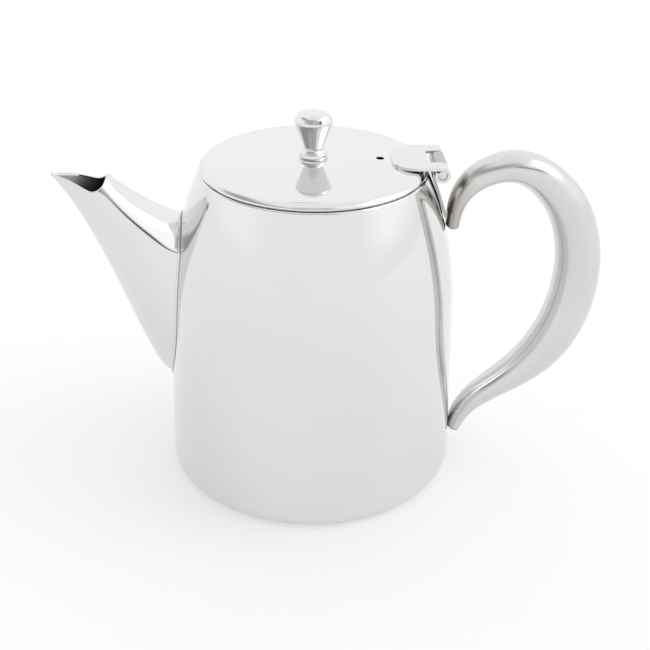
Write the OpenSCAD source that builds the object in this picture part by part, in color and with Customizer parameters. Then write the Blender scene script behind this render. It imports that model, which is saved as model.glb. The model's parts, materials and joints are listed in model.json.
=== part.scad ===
// Hinged-lid teapot in polished stainless steel.
// Millimetres, +Z up. The origin is the centre of the foot ring, on the table.
// The spout points along -X, the handle and the lid hinge lie along +X.

/* [Body] */
// Height of the body up to its rim
body_h = 124.7; // [115:0.1:140]
// Largest radius of the body, just above the foot
body_r_max = 57.35; // [54:0.05:60]
// Lean of the side wall, in degrees from upright
side_taper = 1.67; // [0.5:0.01:2.5]
// Height at which the straight side turns into the shoulder
shoulder_z = 70; // [60:1:80]
// Radius of the shoulder's arc
shoulder_r = 142; // [130:1:170]
// Radius between the side and the foot ring
corner_r = 4.5; // [3:0.1:8]
// Thickness of the drawn sheet
wall = 0.8; // [0.6:0.05:1.2]
// Radius where the foot ring ends and the recessed base begins
foot_inner_r = 49.5; // [40:0.5:51]
// How far the base is recessed above the table
base_recess = 1.2; // [0.5:0.1:2]
// Radius of the base disc, let into the turned-in foot
base_r = 46; // [40:0.5:47]
// Radius of the hole in the turned-in rim
mouth_r = 38.5; // [34:0.1:40]

/* [Strainer] */
// Radius of each strainer hole
strainer_hole_r = 1.6; // [1:0.1:1.9]
// Distance between holes, sideways and upwards
strainer_pitch = 6; // [5:0.5:8]
// Height of the lowest row of holes
strainer_z = 54; // [50:1:60]
// Number of rows
strainer_rows = 6; // [2:1:7]

/* [Lid] */
// Radius of the lid
lid_r = 42.5; // [41:0.1:43]
// Open line between the lid's edge and the rim
lid_gap = 0.45; // [0.3:0.05:0.8]
// Height of the lid's turned-down margin
lid_edge_h = 1.95; // [1.7:0.05:3]
// Radius of the bend between the lid's top and its margin
lid_bend_r = 2.2; // [1.2:0.1:2.4]
// Rise of the lid's dome from margin to centre
lid_rise = 1.9; // [0.5:0.1:3]
// Radius of the locating ring under the lid
ring_r = 37.9; // [33:0.1:38]
// Depth of the locating ring
ring_h = 5.7; // [3:0.1:8]
// Radius of the steam vent
vent_r = 1.5; // [1:0.1:2]
// Distance from the lid's centre to the steam vent
vent_x = 24.8; // [20:0.1:27]

/* [Knob] */
// Height of the knob above the lid
knob_h = 17.4; // [14:0.1:24]
// Largest radius of the knob's head
knob_head_r = 7.1; // [6:0.1:9]
// Radius of the knob's waist
knob_waist_r = 3.45; // [3.2:0.05:4.5]
// Radius of the knob's collar
knob_collar_r = 5.3; // [4.8:0.05:7]
// Height of the collar
knob_collar_h = 2.2; // [1.5:0.1:4]
// Radius of the knob's screw
screw_r = 1.98; // [1.5:0.01:2]
// Length of the screw inside the knob
screw_grip = 8; // [5:0.5:10]

/* [Hinge] */
// Distance from the body's axis to the hinge pin
pin_x = 47; // [46.5:0.1:48]
// Radius of the hinge pin
pin_r = 1.75; // [1.5:0.05:1.8]
// Thickness of both hinge leaves
leaf_t = 1.1; // [0.9:0.05:1.2]
// Width of the lid's leaf
lid_leaf_w = 25; // [22:0.5:27]
// Width of the body's leaf
body_leaf_w = 11.6; // [9:0.1:13]
// Side gap between the knuckles
knuckle_gap = 0.3; // [0.2:0.05:0.5]
// Running clearance around the pin
pin_clearance = 0.05; // [0.02:0.01:0.1]
// Where the lid's leaf begins, from the body's axis
lid_leaf_x = 29; // [27:0.5:32]
// Corner radius at the front of the lid's leaf
lid_leaf_corner = 8; // [4:0.5:11]
// Height at which the body's leaf touches the shoulder
leaf_weld_z = 112; // [110:0.5:113]
// Length of the body's leaf along the shoulder, each way from there
leaf_weld_half = 5.2; // [4:0.1:8]

/* [Spout] */
// Thickness of the spout's pressed sheet
spout_wall = 0.8; // [0.6:0.05:1.2]
// Width of the weld bead round the spout's foot
bead_w = 2; // [1:0.1:3]
// Height of the weld bead
bead_h = 0.8; // [0.4:0.1:1.2]

/* [Handle] */
// Thickness of the handle's pressed sheet
handle_wall = 0.8; // [0.6:0.05:1.2]
// Thickness of the plates that close the handle's ends
cap_t = 0.9; // [0.6:0.1:1.5]

/* [Hidden] */
$fn = 180;
eps = 0.01;
// Gap round the base disc
base_gap = 0.02;

// Body outline: foot corner, straight leaning side, shoulder arc.
// The side is cut a hair inside both arcs, so that it crosses them cleanly.
tuck = 0.02;
side_out = [cos(side_taper), sin(side_taper)];
corner_c = [body_r_max - corner_r, corner_r];
side_foot = corner_c + (corner_r - tuck) * side_out;
function side_r(z) = side_foot[0] - (z - side_foot[1]) * tan(side_taper);
arc_c = [side_r(shoulder_z), shoulder_z] - (shoulder_r - tuck) * side_out;

// Outer radius of the body at height z
function body_r(z) = z < shoulder_z ? side_r(z)
    : min(side_r(z), arc_c[0] + sqrt(pow(shoulder_r, 2) - pow(z - arc_c[1], 2)));

// Lid heights
lid_z0 = body_h + lid_gap;
lid_edge_z = lid_z0 + lid_edge_h;
lid_top_z = lid_edge_z + lid_rise;
dome_x = lid_r - lid_bend_r;
dome_r = (pow(dome_x, 2) + pow(lid_rise, 2)) / (2 * lid_rise);
function dome_z(x) = lid_top_z - dome_r + sqrt(pow(dome_r, 2) - pow(x, 2));

// Knob and its screw
knob_bore_r = screw_r + 0.02;
knob_crease_h = knob_h - 5;
washer_r = 4.5;
washer_t = 0.8;
screw_head_r = 3.6;
screw_head_h = 2.1;

// Hinge: the lid's leaf lies on the dome, the pin hangs under its top face
knuckle_r = pin_r + pin_clearance + leaf_t;
leaf_top_z = dome_z(lid_leaf_x) + leaf_t;
pin_z = leaf_top_z - knuckle_r;
slot_w = body_leaf_w + 2 * knuckle_gap;
slot_x = pin_x - knuckle_r - 1.7;
shoulder_lean = asin((leaf_weld_z - arc_c[1]) / shoulder_r);
curl_gap = 0.6;
curl_angle = 205;

// Spout rails, from the ridge over the near side down to the keel.
// Each rail is a cubic curve: foot on the body, two handles, point on the mouth.
spout_rails = [
    [[-49.9, 0, 104.4], [-60, 0, 108.4], [-69, 0, 114.2], [-76.4, 0, 122]],
    [[-49.7, 7.8, 102.7], [-60.1, 7.3, 107.2], [-69.6, 6.1, 113.5], [-76.8, 3.9, 120.9]],
    [[-49.8, 13, 97.5], [-60.2, 13.1, 101.8], [-70.6, 11, 110.1], [-78, 6.3, 119.3]],
    [[-50, 15.2, 94.9], [-60.3, 15.2, 95.8], [-71.8, 12.5, 104.5], [-80, 7.4, 118.1]],
    [[-51.5, 18, 80], [-60.5, 15.2, 87], [-74.5, 10.8, 104.5], [-83, 7.5, 118.1]],
    [[-53.2, 16.5, 60], [-62, 12, 67], [-77, 7.5, 101.5], [-88, 5.4, 119.9]],
    [[-55.3, 9.5, 45.5], [-64.3, 6.5, 49.5], [-78.3, 4.4, 99.2], [-93, 2.9, 121.3]],
    [[-56.5, 0, 38], [-65.3, 0, 38], [-78, 0, 98.5], [-97.5, 0, 122]]
];
spout_spans = len(spout_rails) - 1;
spout_steps_along = 12;
spout_steps_across = 3 * spout_spans;
bead_grip = 0.45;
bead_gap = 0.04;

// Handle stations, from the upper end over the arch down to the lower end:
// x, z, half thickness in the handle's plane, half width across it.
handle_stations = [
    [53.75, 101.9, 2.7, 4.4],
    [54.1, 106.3, 3.0, 4.7],
    [56.0, 113.3, 3.8, 5.5],
    [62.3, 120.9, 4.9, 6.5],
    [73.5, 125.1, 5.8, 7.5],
    [84.9, 122.1, 6.7, 8.1],
    [95.0, 112.7, 7.7, 8.5],
    [101.4, 100.2, 8.4, 8.8],
    [104.3, 82.9, 8.9, 9.0],
    [101.4, 61.9, 9.0, 9.0],
    [92.3, 44.3, 8.0, 8.7],
    [79.4, 32.4, 5.9, 7.6],
    [68.8, 24.2, 4.8, 6.3],
    [62.9, 16.7, 3.9, 5.2],
    [60.1, 9.8, 3.2, 4.6]
];
handle_spans = len(handle_stations) - 1;
handle_steps_along = 3 * handle_spans;
handle_steps_across = 8;
seat_gap = 0.02;

steel = [0.80, 0.80, 0.79];
steel_dark = [0.62, 0.62, 0.62];

// ---- curves and sheets ----

// Smooth curve through b and c, with a and d as its neighbours
function catmull(a, b, c, d, t) = 0.5 * (
    2 * b + (c - a) * t + (2 * a - 5 * b + 4 * c - d) * pow(t, 2)
    + (3 * b - a - 3 * c + d) * pow(t, 3));
function catmull_slope(a, b, c, d, t) = 0.5 * (
    (c - a) + 2 * (2 * a - 5 * b + 4 * c - d) * t + 3 * (3 * b - a - 3 * c + d) * pow(t, 2));

function bezier(p, t) = pow(1 - t, 3) * p[0] + 3 * t * pow(1 - t, 2) * p[1]
    + 3 * pow(t, 2) * (1 - t) * p[2] + pow(t, 3) * p[3];
function bezier_slope(p, t) = 3 * pow(1 - t, 2) * (p[1] - p[0])
    + 6 * t * (1 - t) * (p[2] - p[1]) + 3 * pow(t, 2) * (p[3] - p[2]);

function unit(v) = v / norm(v);
function triangles(quads) = [for (q = quads) each [[q[0], q[2], q[1]], [q[0], q[3], q[2]]]];

// A sheet with an outer and an inner skin, joined along its four edges
module sheet(outer, inner) {
    n = len(outer) - 1;
    m = len(outer[0]) - 1;
    k = (n + 1) * (m + 1);
    function o(i, j) = i * (m + 1) + j;
    function s(i, j) = k + o(i, j);
    rows = [0 : n - 1];
    cols = [0 : m - 1];
    skins = [for (i = rows, j = cols) each [
        [o(i, j), o(i, j + 1), o(i + 1, j + 1), o(i + 1, j)],
        [s(i, j), s(i + 1, j), s(i + 1, j + 1), s(i, j + 1)]]];
    sides = [for (i = rows) each [
        [o(i, 0), o(i + 1, 0), s(i + 1, 0), s(i, 0)],
        [o(i + 1, m), o(i, m), s(i, m), s(i + 1, m)]]];
    ends = [for (j = cols) each [
        [o(0, j + 1), o(0, j), s(0, j), s(0, j + 1)],
        [o(n, j), o(n, j + 1), s(n, j + 1), s(n, j)]]];
    points = [for (g = [outer, inner], row = g, p = row) p];
    polyhedron(points, triangles(concat(skins, sides, ends)), convexity = 8);
}

// A solid between two loops of points
module loft(loop_a, loop_b) {
    n = len(loop_a);
    side = [for (i = [0 : n - 1]) [i, (i + 1) % n, n + (i + 1) % n, n + i]];
    lids = [for (i = [1 : n - 2]) each [[0, i, i + 1], [n, n + i + 1, n + i]]];
    polyhedron(concat(loop_a, loop_b), concat(triangles(side), lids), convexity = 4);
}

// ---- body ----

// Half section of the pot, with its whole outline moved inwards by inset
module pot_section(inset) {
    low = side_foot - inset * side_out;
    rise = [-sin(side_taper), cos(side_taper)];
    below = low - 10 * rise;
    above = low + body_h * rise;
    floor_z = base_recess + inset;
    foot_x = foot_inner_r + inset / 2;
    difference() {
        intersection() {
            polygon([[0, below[1]], below, above, [0, above[1]]]);
            union() {
                translate([0, inset]) square([corner_c[0], corner_r]);
                translate(corner_c) circle(r = corner_r - inset);
                translate([0, corner_r]) square([body_r_max + 1, shoulder_z - corner_r]);
                intersection() {
                    translate(arc_c) circle(r = shoulder_r - inset, $fn = 720);
                    translate([0, shoulder_z - 1]) square([body_r_max, body_h - inset - shoulder_z + 1]);
                }
            }
        }
        polygon([[-1, -1], [foot_x, -1], [foot_x, inset], [foot_x - floor_z + inset, floor_z], [-1, floor_z]]);
    }
}

module body_shell() {
    color(steel)
    difference() {
        rotate_extrude() difference() {
            intersection() {
                pot_section(0);
                square([body_r_max, body_h]);
            }
            pot_section(wall);
            translate([-1, body_h - 20]) square([mouth_r + 1, 30]);
            translate([-1, -1]) square([base_r + 1, 20]);
        }
        strainer_holes();
    }
}

// Disc that closes the foot, held by a butt weld
module base_plate() {
    color(steel)
    translate([0, 0, base_recess])
    cylinder(r = base_r - base_gap, h = wall);
}

// Holes through the wall behind the spout, in staggered rows
module strainer_holes() {
    for (row = [0 : strainer_rows - 1]) {
        count = 3 + row % 2;
        for (i = [0 : count - 1])
            translate([-body_r_max - 2, (i - (count - 1) / 2) * strainer_pitch, strainer_z + row * strainer_pitch])
            rotate([0, 90, 0])
            cylinder(r = strainer_hole_r, h = 12, $fn = 32);
    }
}

// ---- spout ----

function mirrored(p) = [p[0], -p[1], p[2]];
// Rail number i, carried past the ridge and the keel by symmetry
function rail(i, k) = i < 0 ? mirrored(spout_rails[-i][k])
    : i > spout_spans ? mirrored(spout_rails[2 * spout_spans - i][k])
    : spout_rails[i][k];
function across(v, k) = let (i = min(floor(v), spout_spans - 1))
    catmull(rail(i - 1, k), rail(i, k), rail(i + 1, k), rail(i + 2, k), v - i);
function across_slope(v, k) = let (i = min(floor(v), spout_spans - 1))
    catmull_slope(rail(i - 1, k), rail(i, k), rail(i + 1, k), rail(i + 2, k), v - i);

// Point on the body's surface, on the spout's side, at y and z, lifted off it by lift
function on_body(y, z, lift = 0) = let (r = body_r(z), k = 1 + lift / r)
    [-k * sqrt(pow(r, 2) - pow(y, 2)), k * y, z];
function spout_free_point(u, v) = bezier([for (k = [0 : 3]) across(v, k)], u);
function spout_point(u, v) = let (p = spout_free_point(u, v)) u == 0 ? on_body(p[1], p[2]) : p;
function spout_normal(u, v) = unit(cross(
    bezier([for (k = [0 : 3]) across_slope(v, k)], u),
    bezier_slope([for (k = [0 : 3]) across(v, k)], u)));
function spout_inner(u, v) = let (p = spout_free_point(u, v) - spout_wall * spout_normal(u, v))
    u == 0 ? on_body(p[1], p[2]) : p;

spout_us = [for (i = [0 : spout_steps_along]) i / spout_steps_along];
spout_vs = [for (j = [0 : spout_steps_across]) spout_spans * j / spout_steps_across];

module spout_half() {
    sheet(
        [for (u = spout_us) [for (v = spout_vs) spout_point(u, v)]],
        [for (u = spout_us) [for (v = spout_vs) spout_inner(u, v)]]);
}

module spout_left_half() {
    color(steel) mirror([0, 1, 0]) spout_half();
}

module spout_right_half() {
    color(steel) spout_half();
}

// Bead of weld that runs round the spout's foot, on the body.
// Its section: foot of the spout, edge on the body, shoulder, and side of the spout.
function bead_half_ring(v) = let (
        foot = spout_point(0, v),
        side = foot + bead_grip * (spout_point(1 / spout_steps_along, v) - foot),
        run = across_slope(v, 0),
        out = unit([-run[2], run[1]]),
        clear = bead_gap * [0, out[0], out[1]],
        edge = on_body(foot[1] + bead_w * out[0], foot[2] + bead_w * out[1]),
        top = on_body(foot[1] + 0.6 * bead_w * out[0], foot[2] + 0.6 * bead_w * out[1], bead_h))
    [on_body(foot[1] + clear[1], foot[2] + clear[2]), edge, top, side + clear];
function bead_ring(v) = v > spout_spans
    ? [for (p = bead_half_ring(2 * spout_spans - v)) mirrored(p)]
    : bead_half_ring(v);

module spout_weld_bead() {
    rings = [for (j = [0 : 2 * spout_steps_across - 1]) bead_ring(spout_spans * j / spout_steps_across)];
    n = len(rings);
    m = len(rings[0]);
    quads = [for (i = [0 : n - 1], j = [0 : m - 1])
        let (i2 = (i + 1) % n, j2 = (j + 1) % m)
        [m * i + j, m * i2 + j, m * i2 + j2, m * i + j2]];
    color(steel_dark) polyhedron([for (r = rings, p = r) p], triangles(quads), convexity = 8);
}

// ---- handle ----

function handle_row(i) = i < 0 ? 2 * handle_stations[0] - handle_stations[1]
    : i > handle_spans ? 2 * handle_stations[handle_spans] - handle_stations[handle_spans - 1]
    : handle_stations[i];
function handle_at(u) = let (i = min(floor(u), handle_spans - 1))
    catmull(handle_row(i - 1), handle_row(i), handle_row(i + 1), handle_row(i + 2), u - i);
function handle_run(u) = let (i = min(floor(u), handle_spans - 1),
        d = catmull_slope(handle_row(i - 1), handle_row(i), handle_row(i + 1), handle_row(i + 2), u - i))
    unit([d[0], d[1]]);

// A point inside the body is moved out onto its surface, where the handle is welded
function seated(p) = let (d = norm([p[0], p[1]]), r = body_r(p[2]) + seat_gap)
    d < r ? [p[0] * r / d, p[1] * r / d, p[2]] : p;

// Point of the handle's skin: 180 degrees is the finger side, 0 the outside
function handle_point(u, angle, inset = 0, shift = 0) = let (
        s = handle_at(u), run = handle_run(u),
        a = (s[2] - inset) * cos(angle), b = (s[3] - inset) * sin(angle))
    [s[0] - run[1] * a + run[0] * shift, b, s[1] + run[0] * a + run[1] * shift];

handle_us = [for (i = [0 : handle_steps_along]) handle_spans * i / handle_steps_along];
handle_angles = [for (j = [0 : handle_steps_across]) 180 - 180 * j / handle_steps_across];
loop_angles = [for (j = [0 : 2 * handle_steps_across - 1]) 180 * j / handle_steps_across];

module handle_half() {
    sheet(
        [for (u = handle_us) [for (t = handle_angles) seated(handle_point(u, t))]],
        [for (u = handle_us) [for (t = handle_angles) handle_point(u, t, handle_wall)]]);
}

module handle_left_half() {
    color(steel) mirror([0, 1, 0]) handle_half();
}

module handle_right_half() {
    color(steel) handle_half();
}

// Plate that closes one end; its far face is moved along the handle by shift
module handle_cap(u, shift) {
    near = [for (t = loop_angles) seated(handle_point(u, t))];
    far = [for (t = loop_angles) seated(handle_point(u, t, 0.4, shift))];
    color(steel) if (shift < 0) loft(near, far);
    else loft(far, near);
}

module handle_upper_cap() {
    handle_cap(0, -cap_t);
}

module handle_lower_cap() {
    handle_cap(handle_spans, cap_t);
}

// ---- hinge ----

module along_y(w) {
    translate([0, w / 2, 0]) rotate([90, 0, 0]) linear_extrude(w) children();
}

// Strip that hangs from the centre knuckle and lies on the shoulder
module body_hinge_leaf() {
    left = pin_x - knuckle_r;
    weld_x = body_r(leaf_weld_z) + seat_gap;
    slope = tan(shoulder_lean);
    knee_z = leaf_weld_z + (weld_x - left) / slope;
    foot_z = leaf_weld_z - leaf_weld_half;
    foot_x = weld_x + leaf_weld_half * slope;
    side = leaf_t / cos(shoulder_lean);
    color(steel_dark)
    along_y(body_leaf_w) difference() {
        union() {
            translate([pin_x, pin_z]) circle(r = knuckle_r, $fn = 96);
            polygon([
                [left, pin_z], [left, knee_z], [foot_x, foot_z],
                [foot_x + side, foot_z], [left + leaf_t, knee_z + (side - leaf_t) / slope],
                [left + leaf_t, pin_z]]);
        }
        translate([pin_x, pin_z]) circle(r = pin_r + pin_clearance, $fn = 96);
    }
}

// Flat tongue on the lid, rolled round the pin in two outer knuckles
module lid_hinge_leaf() {
    length = pin_x - lid_leaf_x;
    straight = length - lid_leaf_corner;
    color(steel)
    difference() {
        union() {
            translate([lid_leaf_x, 0, leaf_top_z - leaf_t]) linear_extrude(leaf_t) union() {
                translate([lid_leaf_corner, -lid_leaf_w / 2]) square([straight, lid_leaf_w]);
                translate([0, lid_leaf_corner - lid_leaf_w / 2])
                    square([length, lid_leaf_w - 2 * lid_leaf_corner]);
                for (side = [-1, 1])
                    translate([lid_leaf_corner, side * (lid_leaf_w / 2 - lid_leaf_corner)])
                    circle(r = lid_leaf_corner, $fn = 96);
            }
            translate([pin_x, 0, pin_z]) along_y(lid_leaf_w) circle(r = knuckle_r, $fn = 96);
        }
        translate([pin_x, 0, pin_z]) along_y(lid_leaf_w + 2) circle(r = pin_r, $fn = 96);
        translate([slot_x, -slot_w / 2, pin_z - knuckle_r - 1])
            cube([pin_x + knuckle_r + 1 - slot_x, slot_w, 2 * knuckle_r + 2]);
        translate([pin_x, 0, pin_z]) rotate([0, -curl_angle, 0])
            translate([pin_r - 0.5, -lid_leaf_w, -curl_gap / 2])
            cube([knuckle_r, 2 * lid_leaf_w, curl_gap]);
    }
}

module hinge_pin() {
    color(steel_dark) translate([pin_x, 0, pin_z]) along_y(lid_leaf_w) circle(r = pin_r, $fn = 96);
}

// ---- lid ----

// Half section of the lid, with its outline moved inwards by inset
module lid_section(inset) {
    bend_z = lid_edge_z - lid_bend_r;
    intersection() {
        translate([0, lid_top_z - dome_r]) circle(r = dome_r - inset, $fn = 720);
        union() {
            translate([0, lid_z0 - 1]) square([dome_x, 8]);
            translate([0, lid_z0 - 1]) square([lid_r - inset, bend_z - lid_z0 + 1]);
            translate([dome_x, bend_z]) circle(r = lid_bend_r - inset);
        }
    }
}

module lid_pan() {
    color(steel)
    difference() {
        rotate_extrude() difference() {
            intersection() {
                lid_section(0);
                translate([0, lid_z0]) square([lid_r, 8]);
            }
            lid_section(wall);
        }
        translate([vent_x, 0, lid_z0]) cylinder(r = vent_r, h = 8, $fn = 48);
        translate([0, 0, lid_z0]) cylinder(r = knob_bore_r, h = 8, $fn = 48);
    }
}

module lid_locating_ring() {
    top_z = dome_z(ring_r) - wall - 0.02;
    color(steel)
    translate([0, 0, top_z - ring_h]) difference() {
        cylinder(r = ring_r, h = ring_h);
        translate([0, 0, -1]) cylinder(r = ring_r - wall, h = ring_h + 2);
    }
}

// Turned knob: collar, waist, cone and domed head, drawn as a half section
module knob() {
    head_z = knob_crease_h + 1.6;
    color(steel)
    translate([0, 0, lid_top_z]) difference() {
        rotate_extrude() polygon([
            [0, 0], [knob_collar_r - 0.3, 0], [knob_collar_r, 0.3],
            [knob_collar_r, knob_collar_h - 0.5], [knob_collar_r - 0.5, knob_collar_h],
            [knob_waist_r, knob_collar_h + 1.1], [knob_head_r - 0.4, knob_crease_h],
            [knob_head_r, head_z], [knob_head_r - 0.9, head_z + 1.9],
            [0.6 * knob_head_r, knob_h - 0.5], [0.25 * knob_head_r, knob_h], [0, knob_h]]);
        translate([0, 0, -1]) cylinder(r = knob_bore_r, h = screw_grip + 1.5, $fn = 48);
    }
}

module knob_washer() {
    color(steel_dark)
    translate([0, 0, lid_top_z - wall - washer_t - 0.02]) difference() {
        cylinder(r = washer_r, h = washer_t, $fn = 64);
        translate([0, 0, -1]) cylinder(r = knob_bore_r + 0.1, h = washer_t + 2, $fn = 48);
    }
}

// Screw that holds the knob from under the lid, with a cross recess in its head
module knob_screw() {
    head_z = lid_top_z - wall - washer_t - 0.04;
    color(steel_dark)
    difference() {
        union() {
            translate([0, 0, head_z - screw_head_h]) cylinder(r = screw_head_r, h = screw_head_h, $fn = 64);
            translate([0, 0, head_z - eps]) cylinder(r = screw_r, h = wall + washer_t + screw_grip, $fn = 48);
        }
        for (turn = [0, 90])
            translate([0, 0, head_z - screw_head_h]) rotate([0, 0, turn])
            cube([4, 0.9, 2.2], center = true);
    }
}

body_shell();
base_plate();
spout_left_half();
spout_right_half();
spout_weld_bead();
handle_left_half();
handle_right_half();
handle_upper_cap();
handle_lower_cap();
body_hinge_leaf();
lid_hinge_leaf();
hinge_pin();
lid_pan();
lid_locating_ring();
knob();
knob_screw();
knob_washer();
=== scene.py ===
"""Looks of the polished steel teapot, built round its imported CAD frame.

Every piece is made in millimetres, in the frame's own axes, and stored in metres:
+Z up, the spout along -X, the hinge and the handle along +X.
"""
import json
import math

import bpy
import numpy as np
from mathutils import Matrix, Vector
from mathutils.kdtree import KDTree


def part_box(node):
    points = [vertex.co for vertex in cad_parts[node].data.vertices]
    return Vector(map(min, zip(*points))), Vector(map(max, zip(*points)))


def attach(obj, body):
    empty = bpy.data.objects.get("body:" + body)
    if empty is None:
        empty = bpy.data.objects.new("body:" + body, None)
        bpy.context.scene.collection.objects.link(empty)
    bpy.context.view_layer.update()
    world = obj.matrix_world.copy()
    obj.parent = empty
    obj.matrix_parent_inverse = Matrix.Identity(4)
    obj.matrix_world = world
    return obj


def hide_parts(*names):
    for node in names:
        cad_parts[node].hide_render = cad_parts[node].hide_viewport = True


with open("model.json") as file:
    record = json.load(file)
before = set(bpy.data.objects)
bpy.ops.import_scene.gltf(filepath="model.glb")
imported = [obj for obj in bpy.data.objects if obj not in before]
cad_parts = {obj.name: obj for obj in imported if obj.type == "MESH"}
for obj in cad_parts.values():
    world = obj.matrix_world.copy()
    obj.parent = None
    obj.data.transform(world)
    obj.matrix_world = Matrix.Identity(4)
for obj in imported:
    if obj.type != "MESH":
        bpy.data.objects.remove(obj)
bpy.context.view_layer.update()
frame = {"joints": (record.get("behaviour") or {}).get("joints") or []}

MM = 0.001

# ---- sizes, from the frame ----


def low(node):
    """Lowest corner of a CAD node, in millimetres."""
    return np.array(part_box(node)[0]) / MM


def high(node):
    """Highest corner of a CAD node, in millimetres."""
    return np.array(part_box(node)[1]) / MM


body_h = high("body_shell")[2]
lid_r = high("lid_pan")[0]
lid_z0 = low("lid_pan")[2]
lid_top = low("knob")[2]
knob_r = high("knob")[0]
ring_r = high("lid_locating_ring")[0]
ring_z = (low("lid_locating_ring")[2], high("lid_locating_ring")[2])
pin_x, _, pin_z = np.array(frame["joints"][0]["pos_m"]) / MM
pin_r = high("hinge_pin")[0] - pin_x
leaf_top = high("lid_hinge_leaf")[2]
leaf_x0 = low("lid_hinge_leaf")[0]
leaf_w = 2 * high("lid_hinge_leaf")[1]
knuckle_r = high("lid_hinge_leaf")[0] - pin_x
body_leaf_w = 2 * high("body_hinge_leaf")[1]
body_leaf_foot = low("body_hinge_leaf")[2]

# ---- sizes of the sheet metal ----

WALL = 0.8
LEAF_T = 1.1
END_ROWS = 7            # rows of points round a sheet's rounded end

# ---- outlines ----


def unit(v):
    """The vectors v, each scaled to length 1."""
    return v / np.maximum(np.linalg.norm(v, axis=-1, keepdims=True), 1e-12)


def filleted(corners, step=2.0, turn_step=math.radians(6)):
    """Points along straight runs, with each corner (x, z, radius) rounded, and the
    normal at each point, which lies to the right of the way the path runs."""
    corners = [np.array(c, float) for c in corners]
    points, normals = [], []

    def add(p, d):
        points.append(np.array(p))
        normals.append(np.array([d[1], -d[0]]))

    def run(a, b):
        length = np.linalg.norm(b - a)
        if length < 1e-6:
            return
        d = (b - a) / length
        n = max(1, math.ceil(length / step))
        for k in range(n + 1):
            p = a + (b - a) * k / n
            if not points or np.linalg.norm(p - points[-1]) > 1e-5:
                add(p, d)

    start = corners[0][:2]
    for i in range(1, len(corners) - 1):
        c, radius = corners[i][:2], corners[i][2]
        d0 = unit(c - corners[i - 1][:2])
        d1 = unit(corners[i + 1][:2] - c)
        turn = math.atan2(d0[0] * d1[1] - d0[1] * d1[0], d0 @ d1)
        tangent = radius * math.tan(abs(turn) / 2)
        run(start, c - d0 * tangent)
        side = math.copysign(1, turn)
        centre = c - d0 * tangent + side * radius * np.array([-d0[1], d0[0]])
        n = max(2, math.ceil(max(abs(turn) / turn_step, radius * abs(turn) / step)))
        for k in range(1, n + 1):
            angle = turn * k / n
            d = np.array([d0[0] * math.cos(angle) - d0[1] * math.sin(angle),
                          d0[0] * math.sin(angle) + d0[1] * math.cos(angle)])
            add(centre - side * radius * np.array([-d[1], d[0]]), d)
        start = c + d1 * tangent
    run(start, corners[-1][:2])
    return np.array(points), np.array(normals)


END_ANGLES = np.linspace(0, math.pi, END_ROWS + 2)[1:-1]


def sheet_loop(points, normals, thickness, round_start, round_end):
    """Closed outline of a sheet: its outer skin, and the skin a thickness inside it.
    Each end that is asked for is rounded. Returns the number of outer points too."""
    inner = points - normals * thickness

    def end(k, turn):
        middle = (points[k] + inner[k]) / 2
        n = normals[k]
        t = np.array([-n[1], n[0]]) * turn
        away = [n * math.cos(a) + t * math.sin(a) for a in END_ANGLES]
        return np.array([middle + w * thickness / 2 for w in away]), np.array(away)

    p, n = [points], [normals]
    if round_end:
        cap = end(-1, 1)
        p.append(cap[0])
        n.append(cap[1])
    p.append(inner[::-1])
    n.append(-normals[::-1])
    if round_start:
        cap = end(0, -1)
        p.append(cap[0][::-1])
        n.append(cap[1][::-1])
    return np.concatenate(p), np.concatenate(n), len(points)


# ---- meshes ----


def surface(name, P, N, close_i=False, close_j=False):
    """A smooth quad mesh over a grid of points P with normals N, both (rows, columns, 3).
    A row whose points all meet becomes one vertex. Returns each face's row as well."""
    rows, cols = P.shape[:2]
    index = np.arange(rows * cols).reshape(rows, cols)
    for i in range(rows):
        if np.abs(P[i] - P[i, :1]).max() < 1e-6:
            index[i, :] = index[i, 0]
    faces, face_rows = [], []
    for i in range(rows if close_i else rows - 1):
        a, b = index[i], index[(i + 1) % rows]
        for j in range(cols if close_j else cols - 1):
            k = (j + 1) % cols
            loop = list(dict.fromkeys([a[j], a[k], b[k], b[j]]))
            if len(loop) > 2:
                faces.append(loop)
                face_rows.append(i)
    flat, flat_n = P.reshape(-1, 3), N.reshape(-1, 3)
    loop = faces[len(faces) // 3]
    facing = np.cross(flat[loop[1]] - flat[loop[0]], flat[loop[2]] - flat[loop[0]])
    if facing @ flat_n[loop].sum(0) < 0:
        faces = [f[::-1] for f in faces]
    used = np.unique(np.concatenate(faces))
    new = np.full(rows * cols, -1)
    new[used] = np.arange(len(used))
    mesh = bpy.data.meshes.new(name)
    mesh.from_pydata((flat[used] * MM).tolist(), [], [[int(new[v]) for v in f] for f in faces])
    mesh.shade_smooth()
    mesh.normals_split_custom_set_from_vertices(flat_n[used].tolist())
    obj = bpy.data.objects.new(name, mesh)
    bpy.context.scene.collection.objects.link(obj)
    return obj, face_rows


def paint(obj, materials, face_slots=None):
    """Gives obj its materials, and each face the number of its own."""
    for m in materials:
        obj.data.materials.append(m)
    if face_slots is not None:
        obj.data.polygons.foreach_set("material_index", face_slots)


def revolve(name, points, normals, segments, closed=False):
    """Turns an outline (radius, height) round the vertical axis."""
    angles = 2 * math.pi * np.arange(segments) / segments
    c, s = np.cos(angles)[None, :], np.sin(angles)[None, :]
    r, z = points[:, :1], points[:, 1:] + 0 * c
    P = np.stack([r * c, r * s, z], -1)
    N = np.stack([normals[:, :1] * c, normals[:, :1] * s, normals[:, 1:] + 0 * c], -1)
    return surface(name, P, N, close_i=closed, close_j=True)


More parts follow.
